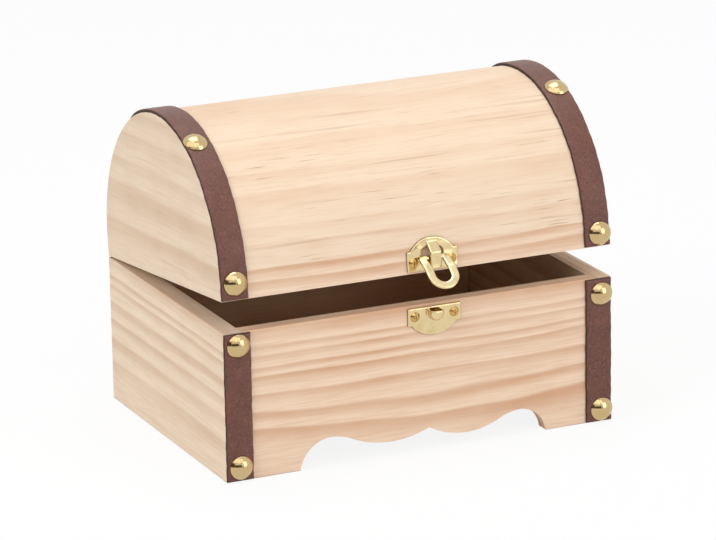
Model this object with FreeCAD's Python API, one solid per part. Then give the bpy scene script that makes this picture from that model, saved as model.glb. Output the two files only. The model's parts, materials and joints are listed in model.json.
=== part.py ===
import FreeCAD, Part
import math
import os

# A small pine treasure chest with a barrel lid, leather straps, brass nails, a hasp clasp and butt hinges.
# Millimetres, +Z up. The origin is on the table, at the middle of the back face's lower edge.
# +X is to the right seen from the front, and +Y points out of the back.
# The lid is drawn shut, then swung to the angle at which it stands ajar.

Vector = FreeCAD.Vector

# Box
width = 181.0
depth = 128.0
base_height = 65.0
side_board = 8.6
front_board = 6.8
floor_board = 4.0
floor_height = 15.0
groove_depth = 3.0
groove_clearance = 0.15
edge_ease = 0.5

# Hand-cut apron along the foot of the front board: its two halves differ a little
left_foot_width = 33.9
left_foot_round = 14.0
left_arch_height = 12.7
left_belly_height = 6.3
right_foot_width = 31.5
right_foot_round = 12.0
right_arch_height = 11.3
right_belly_height = 5.0
cusp_height = 9.9
cusp_offset = 3.5
belly_share = 0.37
turn_share = 0.74
foot_bulge = 0.65

# Barrel lid
lid_gap = 0.3
skirt_height = 7.4
rail_height = 11.5
top_sheet = 4.0
end_lip = 4.0
glue_line = 0.05
lid_ajar = 5.9

# Leather straps, each cut to length by hand
strap_width = 12.0
strap_thickness = 1.4
strap_inset = 0.2
strap_end_gap = 0.5
strap_past_crown = {"left": 23.0, "right": 17.0}

# Domed nails, driven by eye: each stands at its own distance from the strap's end and outer edge,
# and the lid's upper ones at their own distance along the barrel from its crown
nail_head_radius = 5.3
nail_head_height = 2.7
nail_shank_radius = 0.7
nail_shank_length = 9.0
base_low_nail_from_end = {"left": 5.6, "right": 5.3}
base_top_nail_from_end = {"left": 5.2, "right": 6.7}
lid_nail_from_end = {"left": 6.7, "right": 5.3}
nail_from_edge = {"left": 6.3, "right": 4.9}
upper_nail_from_edge = {"left": 5.0, "right": 4.9}
upper_nail_before_crown = {"left": 35.9, "right": 31.6}

# Clasp plates, set a little to the right of the middle
clasp_offset = 6.3
plate_thickness = 0.8
plate_shoulder = 1.7
hasp_plate_width = 23.4
hasp_plate_side = 8.6
hasp_plate_height = 14.0
hasp_plate_rise = 0.9
catch_plate_width = 24.6
catch_plate_side = 7.6
catch_plate_height = 12.6
catch_plate_drop = 1.3
hasp_screw_spacing = 18.0
hasp_screw_height = 4.6
catch_screw_spacing = 18.2
catch_screw_drop = 5.0

# Keeper strip: it stands out of the hasp plate, hangs before the loop's bar and turns back under it
keeper_width = 4.8
keeper_strip = 0.8
keeper_reach = 3.1
keeper_foot = 2.6
keeper_mouth = 0.3
keeper_bend = 8.7
keeper_top = 12.4
keeper_window_width = 10.2
keeper_window_height = 4.6
keeper_window_middle = 8.4

# Hasp loop: a flat ring bent once below its round bar
bar_radius = 1.2
bar_clearance = 0.1
bar_height = 6.2
loop_width = 14.0
loop_leg = 3.4
loop_shoulder = 1.0
loop_corner = 2.0
loop_end = 3.0
loop_thickness = 1.2
loop_length = 17.2
loop_knee_at = 7.0
loop_knee = 15.4
loop_shut_tilt = 10.5
loop_swing = 48.2

# Cup on the catch plate, which the loop drops over
cup_width = 6.4
cup_drop = 2.5
cup_height = 4.6
cup_depth = 4.2
cup_wall = 0.7
cup_round = 2.2

# Screws: their tips stop short of the board's inner face
screw_cover = 1.0
clasp_screw_head_radius = 2.2
clasp_screw_head_height = 1.2
clasp_screw_radius = 1.0
hinge_screw_head_radius = 1.7
hinge_screw_head_height = 0.9
hinge_screw_radius = 0.8
cross_slot_width = 0.5
cross_slot_depth = 0.5
cross_slot_share = 0.6
hole_clearance = 0.05

# Butt hinges on the back
hinge_from_end = 40.0
hinge_length = 20.0
hinge_leaf_height = 9.5
hinge_leaf = 1.0
knuckle_radius = 1.8
knuckle_standoff = 0.15
knuckle_gap = 0.2
hinge_pin_radius = 0.8
hinge_pin_clearance = 0.05
hinge_screw_spacing = 12.0
hinge_screw_from_pin = 5.8

# Places that follow from the sizes
half_width = width / 2
inner_half_width = half_width - side_board
front_y = -depth
plate_face = front_y - plate_thickness
lid_bottom = base_height + lid_gap
barrel_radius = depth / 2
barrel_y = -depth / 2
barrel_z = lid_bottom + skirt_height
hinge_spacing = width - 2 * hinge_from_end
hinge_y = knuckle_radius + knuckle_standoff
hinge_z = base_height + lid_gap / 2
strap_edge = half_width - strap_inset
strap_middle = strap_edge - strap_width / 2
bar_y = plate_face - bar_radius - bar_clearance
bar_z = lid_bottom + bar_height
clasp_screw_length = plate_thickness + front_board - screw_cover
hinge_screw_length = hinge_leaf + front_board - screw_cover
SIDES = {"left": -1, "right": 1}
FRONT = Vector(0, -1, 0)
BACK = Vector(0, 1, 0)
RIGHT = Vector(1, 0, 0)
TOUCH = 0.001


# Drawing helpers


def block(x_range, y_range, z_range):
    """A box between two values on each axis."""
    low = Vector(x_range[0], y_range[0], z_range[0])
    size = Vector(x_range[1], y_range[1], z_range[1]) - low
    return Part.makeBox(size.x, size.y, size.z, low)


def span(a, b):
    """Two values in rising order."""
    return (min(a, b), max(a, b))


def about(middle, length):
    """The two ends of a length about its middle."""
    return (middle - length / 2, middle + length / 2)


def line(a, b):
    return Part.LineSegment(a, b).toShape()


def arc(a, middle, b):
    return Part.Arc(a, middle, b).toShape()


def polygon(points):
    """The closed outline through some points."""
    return [line(a, b) for a, b in zip(points, points[1:] + points[:1])]


def prism(edges, direction):
    """A solid swept straight from a closed outline."""
    return Part.Face(Part.Wire(edges)).extrude(direction)


def round_ended(half, top, height, y):
    """A flat-topped outline in the front view, with a half-round lower end, about the clasp's middle."""
    spring = top - height + half
    left = clasp_offset - half
    right = clasp_offset + half
    return [
        line(Vector(left, y, top), Vector(right, y, top)),
        line(Vector(right, y, top), Vector(right, y, spring)),
        arc(Vector(right, y, spring), Vector(clasp_offset, y, spring - half), Vector(left, y, spring)),
        line(Vector(left, y, spring), Vector(left, y, top)),
    ]


def ribbon(path, near, far):
    """The outline between two offsets to the front of a bent line that runs down in the side view."""
    ways = [(b - a).normalize() for a, b in zip(path, path[1:])]
    outs = [Vector(0, way.z, -way.y) for way in ways]
    mitres = [(a + b) * (1 / (1 + a.dot(b))) for a, b in zip(outs, outs[1:])]
    mitres = [outs[0]] + mitres + [outs[-1]]
    near_side = [point + mitre * near for point, mitre in zip(path, mitres)]
    far_side = [point + mitre * far for point, mitre in zip(path, mitres)]
    return polygon(near_side + far_side[::-1])


def leaning(angle):
    """The way down a run that leans out to the front by an angle in degrees."""
    turn = math.radians(angle)
    return Vector(0, -math.sin(turn), -math.cos(turn))


def ease(solid, wanted):
    """Rounds off the edges whose bounding box passes a test."""
    return solid.makeFillet(edge_ease, [edge for edge in solid.Edges if wanted(edge.BoundBox)])


def ease_outer(solid, side):
    """Rounds off a side piece all round its outer face."""
    return ease(solid, lambda box: min(side * box.XMin, side * box.XMax) > half_width - TOUCH)


def ease_rim(solid):
    """Rounds off the top edges of a board along the rim."""
    return ease(solid, lambda box: box.ZMin > base_height - TOUCH and box.XLength > box.YLength)


def swing_lid(solid):
    """Opens a piece of the shut lid to the angle at which the lid stands ajar."""
    return solid.rotated(Vector(0, hinge_y, hinge_z), RIGHT, -lid_ajar)


# Fasteners


def domed_fastener(head_radius, head_height, shank_radius, shank_length):
    """A low domed head on a straight shank, pointing up with its seat at zero."""
    ball = (head_radius ** 2 + head_height ** 2) / (2 * head_height)
    half_angle = math.asin(head_radius / ball) / 2
    middle = Vector(ball * math.sin(half_angle), 0, head_height - ball + ball * math.cos(half_angle))
    top = Vector(0, 0, head_height)
    rim = Vector(head_radius, 0, 0)
    corner = Vector(shank_radius, 0, 0)
    tip = Vector(shank_radius, 0, -shank_length)
    foot = Vector(0, 0, -shank_length)
    section = [arc(top, middle, rim), line(rim, corner), line(corner, tip), line(tip, foot), line(foot, top)]
    return Part.Face(Part.Wire(section)).revolve(Vector(0, 0, 0), Vector(0, 0, 1), 360)


def nail():
    return domed_fastener(nail_head_radius, nail_head_height, nail_shank_radius, nail_shank_length)


def cross_recessed(screw, head_radius, head_height):
    """Cuts the cross recess in a screw's head."""
    long_side = about(0, 2 * head_radius * cross_slot_share)
    short_side = about(0, cross_slot_width)
    depths = (head_height - cross_slot_depth, head_height + cross_slot_depth)
    return screw.cut(block(long_side, short_side, depths)).cut(block(short_side, long_side, depths))


def clasp_screw():
    blank = domed_fastener(
        clasp_screw_head_radius, clasp_screw_head_height, clasp_screw_radius, clasp_screw_length
    )
    return cross_recessed(blank, clasp_screw_head_radius, clasp_screw_head_height)


def hinge_screw():
    blank = domed_fastener(
        hinge_screw_head_radius, hinge_screw_head_height, hinge_screw_radius, hinge_screw_length
    )
    return cross_recessed(blank, hinge_screw_head_radius, hinge_screw_head_height)


def fasteners(make, seats):
    """One group of like fasteners, each a separate solid set on its seat with its head outwards."""
    placed = []
    for position, outward in seats:
        solid = make()
        solid.Placement = FreeCAD.Placement(position, FreeCAD.Rotation(Vector(0, 0, 1), outward))
        placed.append(solid)
    return Part.makeCompound(placed)


def drill(solid, seats, radius, length):
    """Drills the clearance holes of a set of fasteners, a little deeper than their tips."""
    reach = length + hole_clearance
    for position, outward in seats:
        start = position - outward * reach
        solid = solid.cut(Part.makeCylinder(radius + hole_clearance, 2 * reach, start, outward))
    return solid


def drill_nails(solid, seats):
    return drill(solid, seats, nail_shank_radius, nail_shank_length)


def drill_clasp(solid, seats):
    return drill(solid, seats, clasp_screw_radius, clasp_screw_length)


def drill_hinges(solid, seats):
    return drill(solid, seats, hinge_screw_radius, hinge_screw_length)


# Where the fasteners sit: each is a seat and the way its head points


def front_nail_seat(name, z):
    x = SIDES[name] * (strap_edge - nail_from_edge[name])
    return Vector(x, front_y - strap_thickness, z), FRONT


def base_nail_seats():
    seats = []
    for name in SIDES:
        seats.append(front_nail_seat(name, strap_end_gap + base_low_nail_from_end[name]))
        seats.append(front_nail_seat(name, base_height - strap_end_gap - base_top_nail_from_end[name]))
    return seats


def lid_nail_seats():
    seats = []
    for name in SIDES:
        seats.append(front_nail_seat(name, lid_bottom + strap_end_gap + lid_nail_from_end[name]))
        angle = upper_nail_before_crown[name] / barrel_radius
        outward = Vector(0, -math.sin(angle), math.cos(angle))
        upper_x = SIDES[name] * (strap_edge - upper_nail_from_edge[name])
        crown_centre = Vector(upper_x, barrel_y, barrel_z)
        seats.append((crown_centre + outward * (barrel_radius + strap_thickness), outward))
    return seats


def hasp_screw_seats():
    z = lid_bottom + hasp_screw_height
    return [(Vector(x, plate_face, z), FRONT) for x in about(clasp_offset, hasp_screw_spacing)]


def catch_screw_seats():
    z = base_height - catch_screw_drop
    return [(Vector(x, plate_face, z), FRONT) for x in about(clasp_offset, catch_screw_spacing)]


def hinge_screw_seats(up):
    """The screws of both hinges' lid leaves (up is 1) or base leaves (up is -1)."""
    z = hinge_z + up * hinge_screw_from_pin
    seats = []
    for middle in about(0, hinge_spacing):
        seats += [(Vector(x, hinge_leaf, z), BACK) for x in about(middle, hinge_screw_spacing)]
    return seats


# Base


def floor_panel(clearance):
    """The floor, or with a clearance the groove that it slides into: it rests on the groove's lower face."""
    reach = inner_half_width + groove_depth + clearance
    front = front_y + front_board - groove_depth - clearance
    back = -front_board + groove_depth + clearance
    return block((-reach, reach), (front, back), (floor_height, floor_height + floor_board + clearance))


def side_panel(side):
    """A full-depth side board, grooved for the floor."""
    board = block(span(side * half_width, side * inner_half_width), (front_y, 0), (0, base_height))
    board = ease_outer(board, side).cut(floor_panel(groove_clearance))
    return drill_nails(board, base_nail_seats())


def apron_half(foot_x, foot_round, arch_height, belly_height):
    """One half of the apron's edge: a round by the foot, a crest, and a belly that ends at the cusp."""
    inward = math.copysign(1, cusp_offset - foot_x)
    arch_x = foot_x + inward * foot_round
    run = arch_x - cusp_offset
    turn_x = cusp_offset + run * turn_share
    turn_z = (arch_height + belly_height) / 2
    crest_z = arch_height - (arch_height - turn_z) / 4
    foot = Vector(foot_x, front_y, 0)
    quarter = Vector(arch_x - inward * foot_round * foot_bulge, front_y, arch_height * math.sqrt(0.5))
    arch = Vector(arch_x, front_y, arch_height)
    crest = Vector((arch_x + turn_x) / 2, front_y, crest_z)
    turn = Vector(turn_x, front_y, turn_z)
    belly = Vector(cusp_offset + run * belly_share, front_y, belly_height)
    cusp = Vector(cusp_offset, front_y, cusp_height)
    return [arc(foot, quarter, arch), arc(arch, crest, turn), arc(turn, belly, cusp)]


def front_panel():
    """The front board between the sides, with its scalloped apron."""
    left_foot = left_foot_width - half_width
    right_foot = half_width - right_foot_width
    left = apron_half(left_foot, left_foot_round, left_arch_height, left_belly_height)
    right = apron_half(right_foot, right_foot_round, right_arch_height, right_belly_height)
    table = line(Vector(right_foot, front_y, 0), Vector(left_foot, front_y, 0))
    board = block((-inner_half_width, inner_half_width), (front_y, front_y + front_board), (0, base_height))
    board = ease_rim(board).cut(prism(left + right[::-1] + [table], BACK * front_board))
    board = board.cut(floor_panel(groove_clearance))
    return drill_clasp(board, catch_screw_seats())


def back_panel():
    """The back board between the sides, straight along its foot."""
    board = block((-inner_half_width, inner_half_width), (-front_board, 0), (0, base_height))
    board = ease_rim(board).cut(floor_panel(groove_clearance))
    return drill_hinges(board, hinge_screw_seats(-1))


def base_strap(side):
    heights = (strap_end_gap, base_height - strap_end_gap)
    strap = block(about(side * strap_middle, strap_width), (front_y - strap_thickness, front_y), heights)
    return drill_nails(strap, base_nail_seats())


# Lid, drawn shut


def barrel_point(radius, angle):
    """A point on the barrel's section: angle zero is the crown, and rising angles go to the front."""
    turn = math.radians(angle)
    return Vector(0, barrel_y - radius * math.sin(turn), barrel_z + radius * math.cos(turn))


def lid_section(radius, x_range):
    """The lid's full section, skirt and half barrel, along a stretch of the width."""
    front = Vector(0, barrel_y - radius, lid_bottom)
    back = Vector(0, barrel_y + radius, lid_bottom)
    front_spring = barrel_point(radius, 90)
    back_spring = barrel_point(radius, -90)
    outline = [
        line(back, front),
        line(front, front_spring),
        arc(front_spring, barrel_point(radius, 0), back_spring),
        line(back_spring, back),
    ]
    return prism(outline, RIGHT * (x_range[1] - x_range[0])).translated(RIGHT * x_range[0])


def top_panel(clearance):
    """The bent top between the end boards' lips, or with a clearance the rebate that it beds in."""
    reach = half_width - end_lip + clearance
    outer = lid_section(barrel_radius, (-reach, reach))
    inner = lid_section(barrel_radius - top_sheet - clearance, (-width, width))
    above = (lid_bottom + rail_height, lid_bottom + rail_height + depth)
    return outer.cut(inner).common(block((-width, width), (front_y, 0), above))


def end_panel(side):
    """An arched end board with a rebate for the bent top along its inner edge."""
    board = lid_section(barrel_radius, span(side * half_width, side * inner_half_width))
    board = ease_outer(board, side).cut(top_panel(glue_line))
    return drill_nails(board, lid_nail_seats())


def lid_rail(y_range):
    """A straight rail between the end boards, shaped to the lid's outside."""
    x_range = (-inner_half_width, inner_half_width)
    slab = block(x_range, y_range, (lid_bottom, lid_bottom + rail_height))
    return slab.common(lid_section(barrel_radius, x_range))


def lid_strap(name):
    """A strap up the lid's front and over the crown."""
    past_crown = strap_past_crown[name]
    outer = barrel_radius + strap_thickness
    low_outer = Vector(0, front_y - strap_thickness, lid_bottom + strap_end_gap)
    low_inner = Vector(0, front_y, lid_bottom + strap_end_gap)
    angles = (90, (90 - past_crown) / 2, -past_crown)
    outside = [barrel_point(outer, angle) for angle in angles]
    inside = [barrel_point(barrel_radius, angle) for angle in angles]
    outline = [
        line(low_outer, outside[0]),
        arc(*outside),
        line(outside[2], inside[2]),
        arc(*inside[::-1]),
        line(inside[0], low_inner),
        line(low_inner, low_outer),
    ]
    left_edge = about(SIDES[name] * strap_middle, strap_width)[0]
    return drill_nails(prism(outline, RIGHT * strap_width).translated(RIGHT * left_edge), lid_nail_seats())


# Clasp


def half_moon(plate_width, side_height, height, start, up):
    """A flat plate with one straight edge, square shoulders and a round far edge."""
    left, right = about(clasp_offset, plate_width)
    shoulder = start + up * side_height
    left_corner = Vector(left, front_y, shoulder)
    right_corner = Vector(right, front_y, shoulder)
    left_round = left_corner + RIGHT * plate_shoulder
    right_round = right_corner - RIGHT * plate_shoulder
    outline = [
        line(Vector(left, front_y, start), Vector(right, front_y, start)),
        line(Vector(right, front_y, start), right_corner),
        line(right_corner, right_round),
        arc(right_round, Vector(clasp_offset, front_y, start + up * height), left_round),
        line(left_round, left_corner),
        line(left_corner, Vector(left, front_y, start)),
    ]
    return prism(outline, FRONT * plate_thickness)


def keeper():
    """The strip out of the hasp plate, round the loop's bar and back nearly to the plate."""
    root = Vector(0, front_y - plate_thickness / 4, lid_bottom + keeper_top)
    bend = Vector(0, plate_face - keeper_reach, lid_bottom + keeper_bend)
    corner = Vector(0, plate_face - keeper_reach, lid_bottom + keeper_foot)
    tip = Vector(0, plate_face - keeper_mouth, lid_bottom + keeper_foot)
    strip = prism(ribbon([root, bend, corner, tip], 0, keeper_strip), RIGHT * keeper_width)
    return strip.translated(RIGHT * about(clasp_offset, keeper_width)[0])


def keeper_window():
    """The opening behind the keeper, rounded at both ends."""
    radius = keeper_window_height / 2
    middle = lid_bottom + keeper_window_middle
    ends = about(clasp_offset, keeper_window_width - keeper_window_height)
    window = block(ends, (plate_face, front_y), about(middle, keeper_window_height))
    for x in ends:
        window = window.fuse(Part.makeCylinder(radius, plate_thickness, Vector(x, front_y, middle), FRONT))
    return window


def hasp_plate():
    """The plate on the lid with its keeper strip."""
    start = lid_bottom + hasp_plate_rise
    plate = half_moon(hasp_plate_width, hasp_plate_side, hasp_plate_height, start, 1)
    plate = plate.cut(keeper_window()).fuse(keeper()).removeSplitter()
    return drill_clasp(plate, hasp_screw_seats())


def round_bowl(half, top, height, reach, rounding):
    """Half a bowl that stands out of the catch plate, flat along its top."""
    bowl = prism(round_ended(half, top, height, plate_face), FRONT * reach)
    lip_y = plate_face - reach + TOUCH
    lip = [edge for edge in bowl.Edges if edge.BoundBox.YMax < lip_y and edge.BoundBox.ZMin < top - TOUCH]
    return bowl.makeFillet(rounding, lip)


def catch_plate():
    """The plate on the base with its half-round cup, open at the top."""
    start = base_height - catch_plate_drop
    plate = half_moon(catch_plate_width, catch_plate_side, catch_plate_height, start, -1)
    top = base_height - cup_drop
    cup = round_bowl(cup_width / 2, top, cup_height, cup_depth, cup_round)
    inner_half = cup_width / 2 - cup_wall
    hollow = round_bowl(inner_half, top, cup_height - cup_wall, cup_depth - cup_wall, cup_round - cup_wall)
    return drill_clasp(plate.fuse(cup.cut(hollow)).removeSplitter(), catch_screw_seats())


def hasp_loop():
    """The swinging loop: a bent flat ring with a round bar, drawn shut and then swung out."""
    bar = Vector(clasp_offset - loop_width / 2, bar_y, bar_z)
    shoulder = bar - leaning(loop_shut_tilt) * loop_shoulder
    knee = bar + leaning(loop_shut_tilt) * loop_knee_at
    end = knee + leaning(loop_shut_tilt - loop_knee) * (loop_length - loop_knee_at)
    bent = prism(ribbon([shoulder, knee, end], -loop_thickness / 2, loop_thickness / 2), RIGHT * loop_width)
    half = loop_width / 2
    height = bar_z - end.z
    ahead = bar_y - depth
    through = BACK * (2 * depth)
    rise = bar_radius + loop_shoulder
    ring = bent.common(prism(round_ended(half, bar_z + rise, height + rise, ahead), through))
    corners = [edge for edge in ring.Edges if edge.BoundBox.ZMin > bar_z and edge.BoundBox.XLength < TOUCH]
    ring = ring.makeFillet(loop_corner, corners)
    ring = ring.cut(prism(round_ended(half - loop_leg, bar_z, height - loop_end, ahead), through))
    bar_start = bar + RIGHT * loop_corner
    bar_length = loop_width - 2 * loop_corner
    loop = ring.fuse(Part.makeCylinder(bar_radius, bar_length, bar_start, RIGHT)).removeSplitter()
    return loop.rotated(bar, RIGHT, -loop_swing)


# Hinges


def hinge_leaf_plate(side, up, own, bore_clearance):
    """A leaf with its own knuckles, cut back round the other leaf's, and bored for the pin."""
    start, end = about(side * hinge_spacing / 2, hinge_length)
    step = hinge_length / 3
    leaf = block((start, end), (0, hinge_leaf), span(hinge_z, hinge_z + up * hinge_leaf_height))
    for k in own:
        low = Vector(start + k * step, hinge_y, hinge_z)
        leaf = leaf.fuse(Part.makeCylinder(knuckle_radius, step, low, RIGHT))
    room = 2 * (knuckle_radius + knuckle_gap)
    for k in {0, 1, 2} - own:
        along = about(start + (k + 0.5) * step, step + 2 * knuckle_gap)
        leaf = leaf.cut(block(along, about(hinge_y, room), about(hinge_z, room)))
    bore_radius = hinge_pin_radius + bore_clearance
    leaf = leaf.cut(Part.makeCylinder(bore_radius, hinge_length, Vector(start, hinge_y, hinge_z), RIGHT))
    return drill_hinges(leaf.removeSplitter(), hinge_screw_seats(up))


def hinge_pin(side):
    start = about(side * hinge_spacing / 2, hinge_length)[0]
    return Part.makeCylinder(hinge_pin_radius, hinge_length, Vector(start, hinge_y, hinge_z), RIGHT)


# Assembly


def base_pieces():
    pieces = {
        "base_front_board": front_panel(),
        "base_back_board": back_panel(),
        "base_floor": floor_panel(0),
        "base_strap_nails": fasteners(nail, base_nail_seats()),
        "catch_plate": catch_plate(),
        "catch_plate_screws": fasteners(clasp_screw, catch_screw_seats()),
        "hinge_base_screws": fasteners(hinge_screw, hinge_screw_seats(-1)),
    }
    for name, side in SIDES.items():
        pieces["base_" + name + "_board"] = side_panel(side)
        pieces["base_strap_" + name] = base_strap(side)
        pieces["hinge_base_leaf_" + name] = hinge_leaf_plate(side, -1, {0, 2}, 0)
        pieces["hinge_pin_" + name] = hinge_pin(side)
    return pieces


def lid_pieces():
    pieces = {
        "lid_front_rail": drill_clasp(lid_rail((front_y, front_y + front_board)), hasp_screw_seats()),
        "lid_back_rail": drill_hinges(lid_rail((-front_board, 0)), hinge_screw_seats(1)),
        "lid_top": drill_nails(top_panel(0), lid_nail_seats()),
        "lid_strap_nails": fasteners(nail, lid_nail_seats()),
        "hasp_plate": hasp_plate(),
        "hasp_plate_screws": fasteners(clasp_screw, hasp_screw_seats()),
        "hasp_loop": hasp_loop(),
        "hinge_lid_screws": fasteners(hinge_screw, hinge_screw_seats(1)),
    }
    for name, side in SIDES.items():
        pieces["lid_" + name + "_end"] = end_panel(side)
        pieces["lid_strap_" + name] = lid_strap(name)
        pieces["hinge_lid_leaf_" + name] = hinge_leaf_plate(side, 1, {1}, hinge_pin_clearance)
    return {name: swing_lid(solid) for name, solid in pieces.items()}


os.makedirs("parts", exist_ok=True)
for name, solid in {**base_pieces(), **lid_pieces()}.items():
    solid.exportStep("parts/" + name + ".step")
    print("%-24s solids %d valid %s volume %.1f" % (name, len(solid.Solids), solid.isValid(), solid.Volume))

loop_axis = swing_lid(Part.Vertex(0, bar_y, bar_z)).Point
print("lid hinge axis y %.3f z %.3f" % (hinge_y, hinge_z))
print("loop axis y %.3f z %.3f" % (loop_axis.y, loop_axis.z))
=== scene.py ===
import json
import math

import bmesh
import bpy
from mathutils import Matrix, Vector


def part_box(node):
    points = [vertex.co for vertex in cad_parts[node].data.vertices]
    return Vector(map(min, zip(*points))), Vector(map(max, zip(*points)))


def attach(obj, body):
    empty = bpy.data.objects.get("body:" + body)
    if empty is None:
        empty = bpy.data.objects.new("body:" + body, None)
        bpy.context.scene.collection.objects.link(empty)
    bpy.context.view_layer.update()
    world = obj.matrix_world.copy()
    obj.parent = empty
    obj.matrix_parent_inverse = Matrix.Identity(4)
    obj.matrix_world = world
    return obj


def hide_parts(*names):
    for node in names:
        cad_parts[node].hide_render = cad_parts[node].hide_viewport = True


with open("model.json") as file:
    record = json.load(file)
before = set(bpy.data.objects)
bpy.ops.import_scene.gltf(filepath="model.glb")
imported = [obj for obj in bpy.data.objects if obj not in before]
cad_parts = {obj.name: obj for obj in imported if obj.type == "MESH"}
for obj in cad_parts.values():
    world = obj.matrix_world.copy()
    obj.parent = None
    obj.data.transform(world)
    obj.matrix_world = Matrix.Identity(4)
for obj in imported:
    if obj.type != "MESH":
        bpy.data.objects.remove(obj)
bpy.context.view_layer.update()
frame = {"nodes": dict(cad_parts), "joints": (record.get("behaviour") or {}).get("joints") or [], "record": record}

# A small pine treasure chest dressed for its portrait: grained boards, leather straps and polished brass.
# Metres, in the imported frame: the front faces -Y, and the lid stands ajar.

MM = 0.001
NODES = frame["nodes"]
BODIES = frame["record"]["behaviour"]["bodies"]
BODY_OF = {node: body for body, members in BODIES.items() for node in members}
JOINTS = {joint["name"]: joint for joint in frame["joints"]}
SIDES = ("left", "right")
STRAPS = [part + "_strap_" + side for part in ("base", "lid") for side in SIDES]
NAILS = ["base_strap_nails", "lid_strap_nails"]
SCREWS = ["catch_plate_screws", "hasp_plate_screws", "hinge_base_screws", "hinge_lid_screws"]
STAYS = Matrix.Identity(4)
RIGHTWARDS = Vector((1, 0, 0))
FRONTWARDS = Vector((0, -1, 0))
QUARTER_TURN = math.pi / 2

# Points nearer to each other than this count as one
SAME_POINT = 0.001 * MM

# Rounding of the solids' edges: radii, strips round an edge, and the angles that still count as flat
# and that already count as an edge
BOARD_ROUND = 0.35 * MM
PLATE_ROUND = 0.38 * MM
LOOP_ROUND = 0.75 * MM
SCREW_ROUND = 0.12 * MM
ROUND_STRIPS = 4
FLAT_ANGLE = math.radians(0.5)
EDGE_ANGLE = math.radians(35)

# Nail heads: points round the head and up the dome, the lip that turns in under the rim, and the share
# of the radius from which a solid's points belong to its rim
NAIL_POINTS = 64
NAIL_RINGS = 18
NAIL_LIP = 0.35 * MM
NAIL_RIM = 0.98

# Straps: how far in the edges slope down and the share of the thickness they keep, the same for a
# thinned end, and how far and in which waves a hand-cut edge wanders
STRAP_SLOPE = 1.0 * MM
STRAP_EDGE = 0.5
STRAP_TIP = 9.0 * MM
STRAP_TIP_EDGE = 0.4
STRAP_WANDER = 0.06 * MM
STRAP_WAVES = (6.0 * MM, 2.3 * MM, 0.9 * MM)

# Strap meshes: the length of a step, points up a sloping edge, and the strips of it that show dark: the cut edges
# in their own dark colour, carried onto the steep sloping strips as painted shade along the edges
STRAP_STEP = 1.0 * MM
EDGE_POINTS = 5
EDGE_AND_SHADE_STRIPS = 3


# Sizes read from the frame

hinge = Vector(JOINTS["lid_hinge"]["pos_m"])
lid_tilt = math.radians(JOINTS["lid_hinge"]["range_deg"][0])
AJAR = Matrix.Translation(hinge) @ Matrix.Rotation(lid_tilt, 4, "X") @ Matrix.Translation(-hinge)
SHUT = AJAR.inverted()


def shut_box(node):
    """The lowest and highest corner of a lid's node with the lid turned back to shut."""
    points = [SHUT @ vertex.co for vertex in NODES[node].data.vertices]
    low = Vector(min(point[axis] for point in points) for axis in range(3))
    high = Vector(max(point[axis] for point in points) for axis in range(3))
    return low, high


front_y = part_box("base_front_board")[0].y
rim_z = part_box("base_front_board")[1].z
left_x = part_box("base_left_board")[0].x
strap_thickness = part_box("base_strap_left")[1].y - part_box("base_strap_left")[0].y
top_low, top_high = shut_box("lid_top")
barrel_radius = (top_high.y - top_low.y) / 2
barrel_centre = Vector((0, (top_high.y + top_low.y) / 2, top_high.z - barrel_radius))
middle = Vector((0, front_y / 2, rim_z))


# Shader building


def srgb(red, green, blue):
    """A colour as an image shows it, from 0 to 255, in linear light."""
    channels = [value / 255 for value in (red, green, blue)]
    linear = [c / 12.92 if c <= 0.04045 else ((c + 0.055) / 1.055) ** 2.4 for c in channels]
    return (*linear, 1.0)


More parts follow.
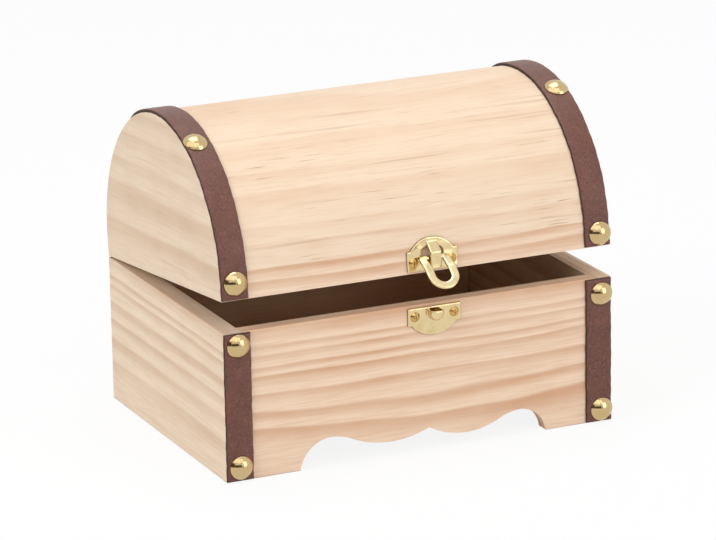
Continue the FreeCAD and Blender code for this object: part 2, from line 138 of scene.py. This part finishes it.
class Shader:
    """The node tree of a material or a world, built one node at a time."""

    def __init__(self, owner):
        owner.use_nodes = True
        self.owner = owner
        self.tree = owner.node_tree

    def feed(self, socket, value):
        """Links a socket to another, or sets its value."""
        if isinstance(value, bpy.types.NodeSocket):
            self.tree.links.new(value, socket)
        else:
            socket.default_value = value

    def add(self, kind, inputs, output=0, **settings):
        """A new node with its inputs fed; gives one of its outputs."""
        node = self.tree.nodes.new("ShaderNode" + kind)
        for key, value in settings.items():
            setattr(node, key, value)
        for key, value in inputs.items():
            self.feed(node.inputs[key], value)
        return node.outputs[output]

    def math(self, operation, a, b=0.0):
        return self.add("Math", {0: a, 1: b}, operation=operation)

    def vector(self, operation, a, b):
        return self.add("VectorMath", {0: a, 1: b}, operation=operation)

    def mix(self, factor, a, b):
        return self.add("Mix", {0: factor, 6: a, 7: b}, 2, data_type="RGBA")

    def noise(self, place, scale=1.0, detail=2.0, roughness=0.5, output="Fac"):
        inputs = {"Vector": place, "Scale": scale, "Detail": detail, "Roughness": roughness}
        return self.add("TexNoise", inputs, output)

    def grain(self, place, along, across, **look):
        """Noise with so many waves to a metre along the X axis and across it."""
        return self.noise(self.vector("MULTIPLY", place, (along, across, across)), **look)

    def step(self, value, low, high, start=0.0, end=1.0):
        """A soft step from start to end between two values."""
        inputs = {"Value": value, "From Min": low, "From Max": high, "To Min": start, "To Max": end}
        return self.add("MapRange", inputs, interpolation_type="SMOOTHSTEP")

    def painted_corner_shade(self, reach, depth):
        """Rises to depth, as painted shade, in joints and corners that are narrower than the reach."""
        openness = self.add("AmbientOcclusion", {"Distance": reach}, "AO", samples=8)
        return self.step(openness, low=0.25, high=0.9, start=depth, end=0.0)

    def own_place(self):
        return self.add("TexCoord", {}, "Object")

    def turned_place(self, matrix):
        """The object's own coordinates moved by a matrix."""
        inputs = {"Vector": self.own_place(), "Location": matrix.translation, "Rotation": matrix.to_euler()}
        return self.add("Mapping", inputs)

    def bump(self, height, distance, strength, **normal):
        return self.add("Bump", {"Height": height, "Distance": distance, "Strength": strength, **normal})

    def finish(self, **inputs):
        """Feeds the surface shader, with spaces in its socket names written as underlines."""
        surface = self.tree.nodes["Principled BSDF"]
        for key, value in inputs.items():
            self.feed(surface.inputs[key.replace("_", " ")], value)
        return self.owner


def new_shader(name):
    return Shader(bpy.data.materials.new(name))


# Pine

PORE = srgb(168, 118, 84)
STREAK = srgb(186, 146, 114)
# Painted shade where the wood meets other parts and in its narrow corners
PAINTED_SHADE_WOOD = srgb(112, 78, 56)
MOTTLE = srgb(250, 232, 208)

# How many years' growth a ring strays by, and how much deeper than a fibre a pore is
YEAR_SPREAD = 1.3
PORE_DEPTH = 2.0


def pine(
    name, to_board, pith, ring, tones,
    contrast=1.0, slope=0.0, wander=6 * MM, pores=0.3, streaks=0.15,
):
    """Flat-sawn pine: growth rings about a pith line that runs along the board, fibres and short dark pores.

    to_board turns the object's place so that the grain runs along X. pith is where the pith crosses the
    board's other two axes, ring the yearly growth, and tones the pale wood and the dark bands. contrast
    is how strongly the bands show, slope the grain's slant in degrees, wander how far the rings stray,
    and pores and streaks how strongly the short and the long dark lines show.
    """
    pale, band = tones
    shader = new_shader(name)
    slant = Matrix.Rotation(math.radians(slope), 4, "Y")
    place = shader.turned_place(Matrix.Translation((0, -pith[0], -pith[1])) @ slant @ to_board)

    sway = shader.vector("SUBTRACT", shader.grain(place, along=6, across=22, output="Color"), (0.5, 0.5, 0.5))
    strayed = shader.vector("ADD", place, shader.vector("MULTIPLY", sway, (0.0, wander, wander)))
    from_pith = shader.vector("MULTIPLY", strayed, (0.0, 1.0, 1.0))
    radius = shader.add("VectorMath", {0: from_pith}, "Value", operation="LENGTH")
    years = shader.math("DIVIDE", radius, ring)
    uneven = shader.add("TexNoise", {"W": years, "Scale": 0.4, "Detail": 1.0}, "Fac", noise_dimensions="1D")
    season = shader.math("FRACT", shader.math("ADD", years, shader.math("MULTIPLY", uneven, YEAR_SPREAD)))
    summer = shader.step(season, low=0.2, high=0.8)
    winter = shader.step(season, low=0.84, high=1.0, start=1.0, end=0.0)
    fading = shader.step(shader.grain(place, along=8, across=50), low=0.3, high=0.7, start=0.45)
    strength = shader.math("MULTIPLY", fading, contrast)
    rings = shader.math("MULTIPLY", shader.math("MULTIPLY", summer, winter), strength)
    colour = shader.mix(rings, pale, band)

    fibre = shader.grain(place, along=40, across=850, detail=4.0, roughness=0.65)
    colour = shader.mix(shader.step(fibre, low=0.35, high=0.72, end=0.38), colour, band)
    grouping = shader.step(shader.grain(place, along=12, across=70), low=0.4, high=0.65, start=0.2)
    specks = shader.grain(place, along=55, across=2300, detail=1.0)
    pore = shader.math("MULTIPLY", shader.step(specks, low=0.66, high=0.78, end=pores), grouping)
    colour = shader.mix(pore, colour, PORE)
    lines = shader.grain(place, along=9, across=330)
    colour = shader.mix(shader.step(lines, low=0.62, high=0.76, end=streaks), colour, STREAK)
    mottling = shader.noise(place, scale=45, detail=3.0)
    colour = shader.mix(shader.step(mottling, low=0.3, high=0.7, end=0.12), colour, MOTTLE)

    grooves = shader.math("SUBTRACT", fibre, shader.math("MULTIPLY", pore, PORE_DEPTH))
    return shader.finish(
        # Painted shade: the colour darkens where other parts sit on the wood and in narrow corners
        Base_Color=shader.mix(shader.painted_corner_shade(reach=0.9 * MM, depth=0.75), colour, PAINTED_SHADE_WOOD),
        Roughness=shader.step(fibre, low=0.2, high=0.8, start=0.52, end=0.7),
        Normal=shader.bump(grooves, distance=0.06 * MM, strength=0.6),
        Specular_IOR_Level=0.3,
    )


FRONT_TONES = (srgb(241, 213, 187), srgb(207, 160, 124))
SIDE_TONES = (srgb(234, 213, 189), srgb(206, 172, 142))
END_TONES = (srgb(229, 208, 183), srgb(205, 174, 144))
TOP_TONES = (srgb(239, 215, 189), srgb(222, 183, 151))
RIGHT_TONES = (srgb(235, 208, 178), srgb(206, 165, 129))
BACK_TONES = (srgb(240, 208, 174), srgb(210, 163, 122))
FLOOR_TONES = (srgb(236, 197, 154), srgb(206, 156, 110))

ALONG_X = STAYS
ALONG_Y = Matrix.Rotation(math.radians(-90), 4, "Z")
LID_ALONG_X = SHUT
LID_ALONG_Y = ALONG_Y @ SHUT

# Where the pith lies across a board's thickness, behind the face that shows
left_pith = -left_x - 60 * MM
right_pith = left_x + 60 * MM
front_pith = front_y + 80 * MM

BOARDS = {
    "base_front_board": pine(
        "pine_front", ALONG_X, pith=(front_pith, 1 * MM), ring=2.9 * MM, tones=FRONT_TONES,
    ),
    "base_back_board": pine(
        "pine_back", ALONG_X, pith=(-70 * MM, 40 * MM), ring=2.9 * MM, tones=BACK_TONES,
    ),
    "base_left_board": pine(
        "pine_left", ALONG_Y, pith=(left_pith, -1 * MM), ring=4.4 * MM, tones=SIDE_TONES,
        contrast=0.8, wander=4 * MM,
    ),
    "base_right_board": pine(
        "pine_right", ALONG_Y, pith=(right_pith, 70 * MM), ring=4 * MM, tones=RIGHT_TONES,
        contrast=0.7, wander=3 * MM,
    ),
    "base_floor": pine(
        "pine_floor", ALONG_X, pith=(20 * MM, -60 * MM), ring=2.4 * MM, tones=FLOOR_TONES,
    ),
    "lid_left_end": pine(
        "pine_left_end", LID_ALONG_Y, pith=(left_pith, 30 * MM), ring=11 * MM, tones=END_TONES,
        contrast=0.75, slope=2,
    ),
    "lid_right_end": pine(
        "pine_right_end", LID_ALONG_Y, pith=(right_pith, 30 * MM), ring=10 * MM, tones=RIGHT_TONES,
        contrast=0.75, slope=-2,
    ),
    "lid_front_rail": pine(
        "pine_front_rail", LID_ALONG_X, pith=(front_pith, 34 * MM), ring=2.2 * MM, tones=FRONT_TONES,
    ),
    "lid_back_rail": pine(
        "pine_back_rail", LID_ALONG_X, pith=(-80 * MM, 34 * MM), ring=2.2 * MM, tones=FRONT_TONES,
    ),
    "lid_top": pine(
        "pine_top", LID_ALONG_X, pith=(front_y / 2, 20 * MM), ring=5 * MM, tones=TOP_TONES,
        contrast=0.45, pores=0.85, streaks=0.6,
    ),
}


# Leather

CREASE = srgb(62, 36, 30)
# Painted sheen: a lighter colour laid in small specks at random over the leather
SHEEN_SPECK = srgb(142, 106, 97)
CREASE_DEPTH = 0.8


def leather(name, tone, worn, roughness):
    """Dyed leather with a fine pebbled grain."""
    shader = new_shader(name)
    place = shader.own_place()
    wear = shader.noise(place, scale=140, detail=3.0)
    creases = shader.noise(place, scale=900, detail=4.0, roughness=0.6)
    sheen_specks = shader.noise(place, scale=1100)
    colour = shader.mix(shader.step(wear, low=0.3, high=0.75, start=0.1, end=0.5), tone, worn)
    colour = shader.mix(shader.step(creases, low=0.5, high=0.7, end=0.6), colour, CREASE)
    # Specks of painted sheen
    colour = shader.mix(shader.step(sheen_specks, low=0.52, high=0.7, end=0.26), colour, SHEEN_SPECK)
    pebbles = shader.add("TexVoronoi", {"Vector": place, "Scale": 2200.0}, "Distance")
    relief = shader.math("ADD", pebbles, shader.math("MULTIPLY", creases, CREASE_DEPTH))
    return shader.finish(
        Base_Color=colour,
        Roughness=roughness,
        Normal=shader.bump(relief, distance=0.1 * MM, strength=0.8),
        Specular_IOR_Level=0.45,
    )


LEATHER_FACE = leather("leather_face", tone=srgb(98, 54, 42), worn=srgb(122, 76, 60), roughness=0.45)
LEATHER_EDGE = leather("leather_edge", tone=srgb(52, 33, 28), worn=srgb(76, 50, 43), roughness=0.8)


# Brass

PALE_BRASS = srgb(236, 217, 172)
BRIGHT_BRASS = srgb(226, 204, 158)
NAIL_BRASS = srgb(203, 177, 131)
DULL_BRASS = srgb(196, 164, 108)
SCREW_BRASS = srgb(204, 166, 98)
# Painted shade in the brass's corners and where it meets other parts
PAINTED_SHADE_BRASS = srgb(118, 92, 52)

# Scratches: how many there are to a metre along each axis, and how much rougher than the rest they are
SCRATCH_FINENESS = (3000.0, 500.0, 700.0)
SCRATCH_ROUGHNESS = 0.06


def brass(name, tone, roughness, dents, worn):
    """Polished brass with faint scratches, dents of a depth, a little tarnish, and painted shade in its corners.

    worn is the radius to which handling has rounded its edges.
    """
    shader = new_shader(name)
    place = shader.own_place()
    scratches = shader.noise(shader.vector("MULTIPLY", place, SCRATCH_FINENESS))
    tarnish = shader.noise(place, scale=260, detail=3.0)
    colour = shader.mix(shader.step(tarnish, low=0.4, high=0.75, end=0.4), tone, DULL_BRASS)
    hollows = shader.noise(place, scale=110, detail=1.0)
    rounded = shader.add("Bevel", {"Radius": worn}, samples=8)
    scratched = roughness + SCRATCH_ROUGHNESS
    return shader.finish(
        # Painted shade where the brass meets the wood and its screws
        Base_Color=shader.mix(shader.painted_corner_shade(reach=1.2 * MM, depth=0.7), colour, PAINTED_SHADE_BRASS),
        Metallic=1.0,
        Roughness=shader.step(scratches, low=0.4, high=0.8, start=roughness, end=scratched),
        Normal=shader.bump(hollows, distance=dents, strength=1.0, Normal=rounded),
    )


POLISHED = brass("brass_polished", NAIL_BRASS, roughness=0.1, dents=0.05 * MM, worn=0.1 * MM)
BENT = brass("brass_bent", PALE_BRASS, roughness=0.1, dents=0.6 * MM, worn=1.1 * MM)
STAMPED = brass("brass_stamped", BRIGHT_BRASS, roughness=0.1, dents=0.6 * MM, worn=0.9 * MM)
TURNED = brass("brass_turned", SCREW_BRASS, roughness=0.2, dents=0.1 * MM, worn=0.2 * MM)


# The solids of the frame: softened edges and their materials


def soften(node, rounding):
    """Rounds the sharp edges of a solid that shows as it is."""
    solid = NODES[node]
    weld = solid.modifiers.new("weld", "WELD")
    weld.merge_threshold = SAME_POINT
    flat = solid.modifiers.new("flat", "DECIMATE")
    flat.decimate_type = "DISSOLVE"
    flat.angle_limit = FLAT_ANGLE
    edges = solid.modifiers.new("round_edges", "BEVEL")
    edges.width = rounding
    edges.segments = ROUND_STRIPS
    edges.limit_method = "ANGLE"
    edges.angle_limit = EDGE_ANGLE
    solid.modifiers.new("normals", "WEIGHTED_NORMAL")


def paint(node, material):
    NODES[node].data.materials.clear()
    NODES[node].data.materials.append(material)


FITTINGS = {"hasp_loop": (LOOP_ROUND, BENT), **{node: (SCREW_ROUND, TURNED) for node in SCREWS}}

for node, material in BOARDS.items():
    soften(node, BOARD_ROUND)
    paint(node, material)
for node in sorted(set(NODES) - set(BOARDS) - set(STRAPS) - set(NAILS)):
    rounding, metal = FITTINGS.get(node, (PLATE_ROUND, STAMPED))
    soften(node, rounding)
    paint(node, metal)


# Pieces made here in place of plain solids


def show_piece(name, form, materials, node):
    """Makes a finished form into the piece that shows for a node and rides on its body."""
    bmesh.ops.recalc_face_normals(form, faces=form.faces)
    mesh = bpy.data.meshes.new(name)
    form.to_mesh(mesh)
    form.free()
    for material in materials:
        mesh.materials.append(material)
    piece = bpy.data.objects.new(name, mesh)
    bpy.context.scene.collection.objects.link(piece)
    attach(piece, BODY_OF[node])
    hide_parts(node)


# Leather straps


def strap_section(left, right):
    """The strap's outline from its left foot over the upper side to its right foot, as (x, height)."""
    half = []
    for k in range(EDGE_POINTS + 1):
        turn = QUARTER_TURN * k / EDGE_POINTS
        rise = STRAP_EDGE + (1 - STRAP_EDGE) * math.sin(turn)
        half.append((STRAP_SLOPE * (1 - math.cos(turn)), strap_thickness * rise))
    rising = [(left + inset, height) for inset, height in half]
    falling = [(right - inset, height) for inset, height in reversed(half)]
    return [(left, 0.0), *rising, *falling, (right, 0.0)]


def hand_cut(run, edge):
    """How far a strap's edge strays at a run's length; each edge strays in its own way."""
    return STRAP_WANDER * sum(math.sin((run + edge) / wave) for wave in STRAP_WAVES)


def strap(node, low, high, route, length, tip, place):
    """A strap laid along a route, which gives the wood's surface and the way out of it at a run's length.

    The far end is thinned over the tip's length.
    """
    section = strap_section(low.x, high.x)
    strap_middle = (low.x + high.x) / 2
    form = bmesh.new()
    rings = []
    count = round(length / STRAP_STEP)
    for k in range(count + 1):
        run = length * k / count
        point, out = route(run)
        left_cut, right_cut = hand_cut(run, low.x), hand_cut(run, high.x)
        share_of_tip = min((length - run) / tip, 1.0) if tip else 1.0
        thinned = out * (STRAP_TIP_EDGE + (1 - STRAP_TIP_EDGE) * math.sin(QUARTER_TURN * share_of_tip))
        ring = []
        for x, lift in section:
            cut = left_cut if x < strap_middle else right_cut
            ring.append(form.verts.new(place @ (point + thinned * lift + RIGHTWARDS * (x + cut))))
        rings.append(ring)
    underside = len(section) - 1
    for ring, following in zip(rings, rings[1:]):
        for k in range(len(section)):
            after = (k + 1) % len(section)
            face = form.faces.new((ring[k], ring[after], following[after], following[k]))
            face.smooth = 0 < k < underside - 1
            # The cut edges' own dark colour, and on the sloping strips beside them painted shade along the edges
            face.material_index = int(k < EDGE_AND_SHADE_STRIPS or k >= underside - EDGE_AND_SHADE_STRIPS)
    for cut_end in (rings[0], rings[-1]):
        form.faces.new(cut_end).material_index = 1
    show_piece("leather_" + node, form, (LEATHER_FACE, LEATHER_EDGE), node)


def base_strap(node):
    """A straight strap up the front of the base."""
    low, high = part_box(node)

    def route(run):
        return Vector((0, high.y, low.z + run)), FRONTWARDS

    strap(node, low, high, route, length=high.z - low.z, tip=0.0, place=STAYS)


def lid_strap(node):
    """A strap up the straight skirt and round the barrel, as far behind the crown as the solid strap."""
    low, high = shut_box(node)
    straight = barrel_centre.z - low.z
    past_crown = math.asin((high.y - barrel_centre.y) / (barrel_radius + strap_thickness))

    def route(run):
        turn = QUARTER_TURN - max(run - straight, 0) / barrel_radius
        out = Vector((0, -math.sin(turn), math.cos(turn)))
        drop = Vector((0, 0, min(run - straight, 0)))
        return barrel_centre + out * barrel_radius + drop, out

    length = straight + barrel_radius * (QUARTER_TURN + past_crown)
    strap(node, low, high, route, length, tip=STRAP_TIP, place=AJAR)


for side in SIDES:
    base_strap("base_strap_" + side)
    lid_strap("lid_strap_" + side)


# Domed nails, turned smooth in place of the solids


def islands(mesh):
    """The points of each separate solid in a mesh, by the edges that join them."""
    form = bmesh.new()
    form.from_mesh(mesh)
    bmesh.ops.remove_doubles(form, verts=form.verts, dist=SAME_POINT)
    left = set(form.verts)
    found = []
    while left:
        reached = [left.pop()]
        for vertex in reached:
            fresh = {edge.other_vert(vertex) for edge in vertex.link_edges} & left
            left -= fresh
            reached.extend(fresh)
        found.append([vertex.co.copy() for vertex in reached])
    form.free()
    return found


def way_out(point):
    """The way out of the shut box at a point: away from the barrel's axis, or to the front below it."""
    if point.z > barrel_centre.z:
        return Vector((0, point.y - barrel_centre.y, point.z - barrel_centre.z)).normalized()
    return FRONTWARDS


def dome_profile(radius, seat, apex):
    """A dome's rings from below the apex to the turned-in lip, as (distance from the axis, height)."""
    rise = apex - seat
    ball = (radius ** 2 + rise ** 2) / (2 * rise)
    span = math.asin(radius / ball)
    profile = []
    for k in range(1, NAIL_RINGS + 1):
        angle = span * k / NAIL_RINGS
        profile.append((ball * math.sin(angle), apex - ball + ball * math.cos(angle)))
    return [*profile, (radius - NAIL_LIP, seat)]


def nail_head(form, points, place):
    """Turns one domed head over a solid nail, whose points are given with the lid shut."""
    out = way_out(sum(points, Vector()) / len(points))
    up = out.cross(RIGHTWARDS)
    measured = [(point.dot(RIGHTWARDS), point.dot(up), point.dot(out)) for point in points]
    across, along, heights = zip(*measured)
    middle_x = (max(across) + min(across)) / 2
    middle_up = (max(along) + min(along)) / 2
    radius = max(across) - middle_x
    apex = max(heights)
    seat = min(h for x, u, h in measured if math.hypot(x - middle_x, u - middle_up) > NAIL_RIM * radius)
    axis = RIGHTWARDS * middle_x + up * middle_up

    rings = []
    for reach, height in dome_profile(radius, seat, apex):
        ring = []
        for k in range(NAIL_POINTS):
            turn = 2 * math.pi * k / NAIL_POINTS
            spoke = RIGHTWARDS * math.cos(turn) + up * math.sin(turn)
            ring.append(form.verts.new(place @ (axis + spoke * reach + out * height)))
        rings.append(ring)
    top = form.verts.new(place @ (axis + out * apex))
    for k in range(NAIL_POINTS):
        after = (k + 1) % NAIL_POINTS
        form.faces.new((top, rings[0][k], rings[0][after]))
        for ring, following in zip(rings, rings[1:]):
            form.faces.new((ring[k], following[k], following[after], ring[after]))
    form.faces.new(rings[-1])


def nails(node, to_shut, place):
    """The heads of one group of nails."""
    form = bmesh.new()
    for points in islands(NODES[node].data):
        nail_head(form, [to_shut @ point for point in points], place)
    for face in form.faces:
        face.smooth = True
    show_piece("turned_" + node, form, (POLISHED,), node)


nails("base_strap_nails", to_shut=STAYS, place=STAYS)
nails("lid_strap_nails", to_shut=SHUT, place=AJAR)


# Stage

WHITE = (1.0, 1.0, 1.0, 1.0)
BLACK = (0.0, 0.0, 0.0, 1.0)
FLOOR_PALE = (0.9, 0.9, 0.9, 1.0)
FLOOR_SHADE = 0.12
FLOOR_SIZE = 12.0
LIGHT_LEVEL = 0.55
CARD_GLOW = 1.7


def seen_directly(shader):
    """One for rays from the camera, from mirrors and through glass, and zero for the rest."""
    paths = shader.tree.nodes.new("ShaderNodeLightPath").outputs
    either = shader.math("MAXIMUM", paths["Is Camera Ray"], paths["Is Glossy Ray"])
    return shader.math("MAXIMUM", either, paths["Is Transmission Ray"])


def studio_white():
    """Shows white, keeps a share of its shading, and lights the object as a pale floor does."""
    shader = new_shader("studio_white")
    matt = shader.add("BsdfDiffuse", {"Color": FLOOR_PALE})
    glow = shader.add("Emission", {"Color": WHITE, "Strength": 1.0})
    shown = shader.add("MixShader", {0: FLOOR_SHADE, 1: glow, 2: matt})
    both = shader.add("MixShader", {0: seen_directly(shader), 1: matt, 2: shown})
    shader.tree.nodes.remove(shader.tree.nodes["Principled BSDF"])
    shader.feed(shader.tree.nodes["Material Output"].inputs["Surface"], both)
    return shader.owner


def studio_world():
    """Shows white to the camera and in the brass, and lights the object at a lower level."""
    world = bpy.data.worlds.new("studio")
    shader = Shader(world)
    shader.tree.nodes.clear()
    lighting = shader.add("Background", {"Color": WHITE, "Strength": LIGHT_LEVEL})
    backdrop = shader.add("Background", {"Color": WHITE, "Strength": 1.0})
    both = shader.add("MixShader", {0: seen_directly(shader), 1: lighting, 2: backdrop})
    shader.feed(shader.tree.nodes.new("ShaderNodeOutputWorld").inputs["Surface"], both)
    return world


def sheet(name, width, height, material):
    """A flat rectangle for the stage, about its own middle."""
    x, y = width / 2, height / 2
    mesh = bpy.data.meshes.new(name)
    mesh.from_pydata([(-x, -y, 0), (x, -y, 0), (x, y, 0), (-x, y, 0)], [], [(0, 1, 2, 3)])
    mesh.materials.append(material)
    piece = bpy.data.objects.new(name, mesh)
    bpy.context.scene.collection.objects.link(piece)
    return piece


def direction(azimuth, elevation):
    """The way out to a place round the object: azimuth 0 is the front, and falling angles go to the left."""
    side, up = math.radians(azimuth), math.radians(elevation)
    return Vector((math.sin(side) * math.cos(up), -math.cos(side) * math.cos(up), math.sin(up)))


def facing(way):
    """The turn that looks against a way, with the picture's top upwards."""
    return (-way).to_track_quat("-Z", "Y")


def set_up(piece, azimuth, elevation, distance):
    """Puts a lamp or a card at a place round the object and turns it to face the object."""
    way = direction(azimuth, elevation)
    piece.location = middle + way * distance
    piece.rotation_euler = facing(way).to_euler()


def softbox(name, width, height, watts, **place):
    lamp = bpy.data.lights.new(name, "AREA")
    lamp.shape = "RECTANGLE"
    lamp.size = width
    lamp.size_y = height
    lamp.energy = watts
    holder = bpy.data.objects.new(name, lamp)
    bpy.context.scene.collection.objects.link(holder)
    set_up(holder, **place)
    return holder


def card(name, width, height, material, **place):
    """A card that only the brass mirrors, as it does a studio's lit and unlit corners."""
    piece = sheet(name, width, height, material)
    set_up(piece, **place)
    piece.visible_camera = False
    piece.visible_diffuse = False
    piece.visible_shadow = False


sheet("floor", FLOOR_SIZE, FLOOR_SIZE, studio_white())
bpy.context.scene.world = studio_world()

softbox("key", width=1.2, height=1.2, watts=10.5, azimuth=180, elevation=84, distance=1.8)
softbox("front_fill", width=0.9, height=0.9, watts=2.2, azimuth=8, elevation=46, distance=1.8)
softbox("right_fill", width=0.9, height=1.2, watts=6.4, azimuth=33, elevation=15, distance=2.0)
left_fill = softbox("left_fill", width=0.9, height=1.2, watts=10.5, azimuth=-72, elevation=34, distance=1.8)
left_fill.visible_glossy = False

UNLIT = new_shader("card_black").finish(Base_Color=srgb(104, 92, 72), Roughness=0.9)
LIT = new_shader("card_white").finish(Base_Color=BLACK, Emission_Color=WHITE, Emission_Strength=CARD_GLOW)
card("dark_front", width=2.6, height=0.8, material=UNLIT, azimuth=-22, elevation=9, distance=2.6)
card("dark_left", width=2.6, height=1.4, material=UNLIT, azimuth=-76, elevation=14, distance=2.6)
card("dark_horizon", width=2.2, height=0.3, material=UNLIT, azimuth=28, elevation=0, distance=2.6)
card("dark_seam", width=0.2, height=1.5, material=UNLIT, azimuth=2, elevation=44, distance=2.6)
card("bright_left", width=3.2, height=1.5, material=LIT, azimuth=-46, elevation=53, distance=2.4)
card("bright_top", width=2.2, height=1.4, material=LIT, azimuth=180, elevation=74, distance=2.4)


# Camera at the photograph's viewing angle, for a picture 716 pixels wide

PHOTO_WIDTH = 716
FOCAL_PIXELS = 4400
CAMERA_AZIMUTH = -24.346
CAMERA_ELEVATION = 16.668
CAMERA_ROLL = 1.048
CAMERA_DISTANCE = 1.9109
CAMERA_AIM = Vector((0.47 * MM, -64.07 * MM, 63.2 * MM))

lens = bpy.data.cameras.new("camera")
lens.sensor_fit = "HORIZONTAL"
lens.lens = lens.sensor_width * FOCAL_PIXELS / PHOTO_WIDTH
camera = bpy.data.objects.new("camera", lens)
bpy.context.scene.collection.objects.link(camera)
away = direction(CAMERA_AZIMUTH, CAMERA_ELEVATION)
rolled = Matrix.Rotation(math.radians(-CAMERA_ROLL), 3, "Z")
camera.location = CAMERA_AIM + away * CAMERA_DISTANCE
camera.rotation_euler = (facing(away).to_matrix() @ rolled).to_euler()
bpy.context.scene.camera = camera
bpy.context.scene.view_settings.view_transform = "Standard"
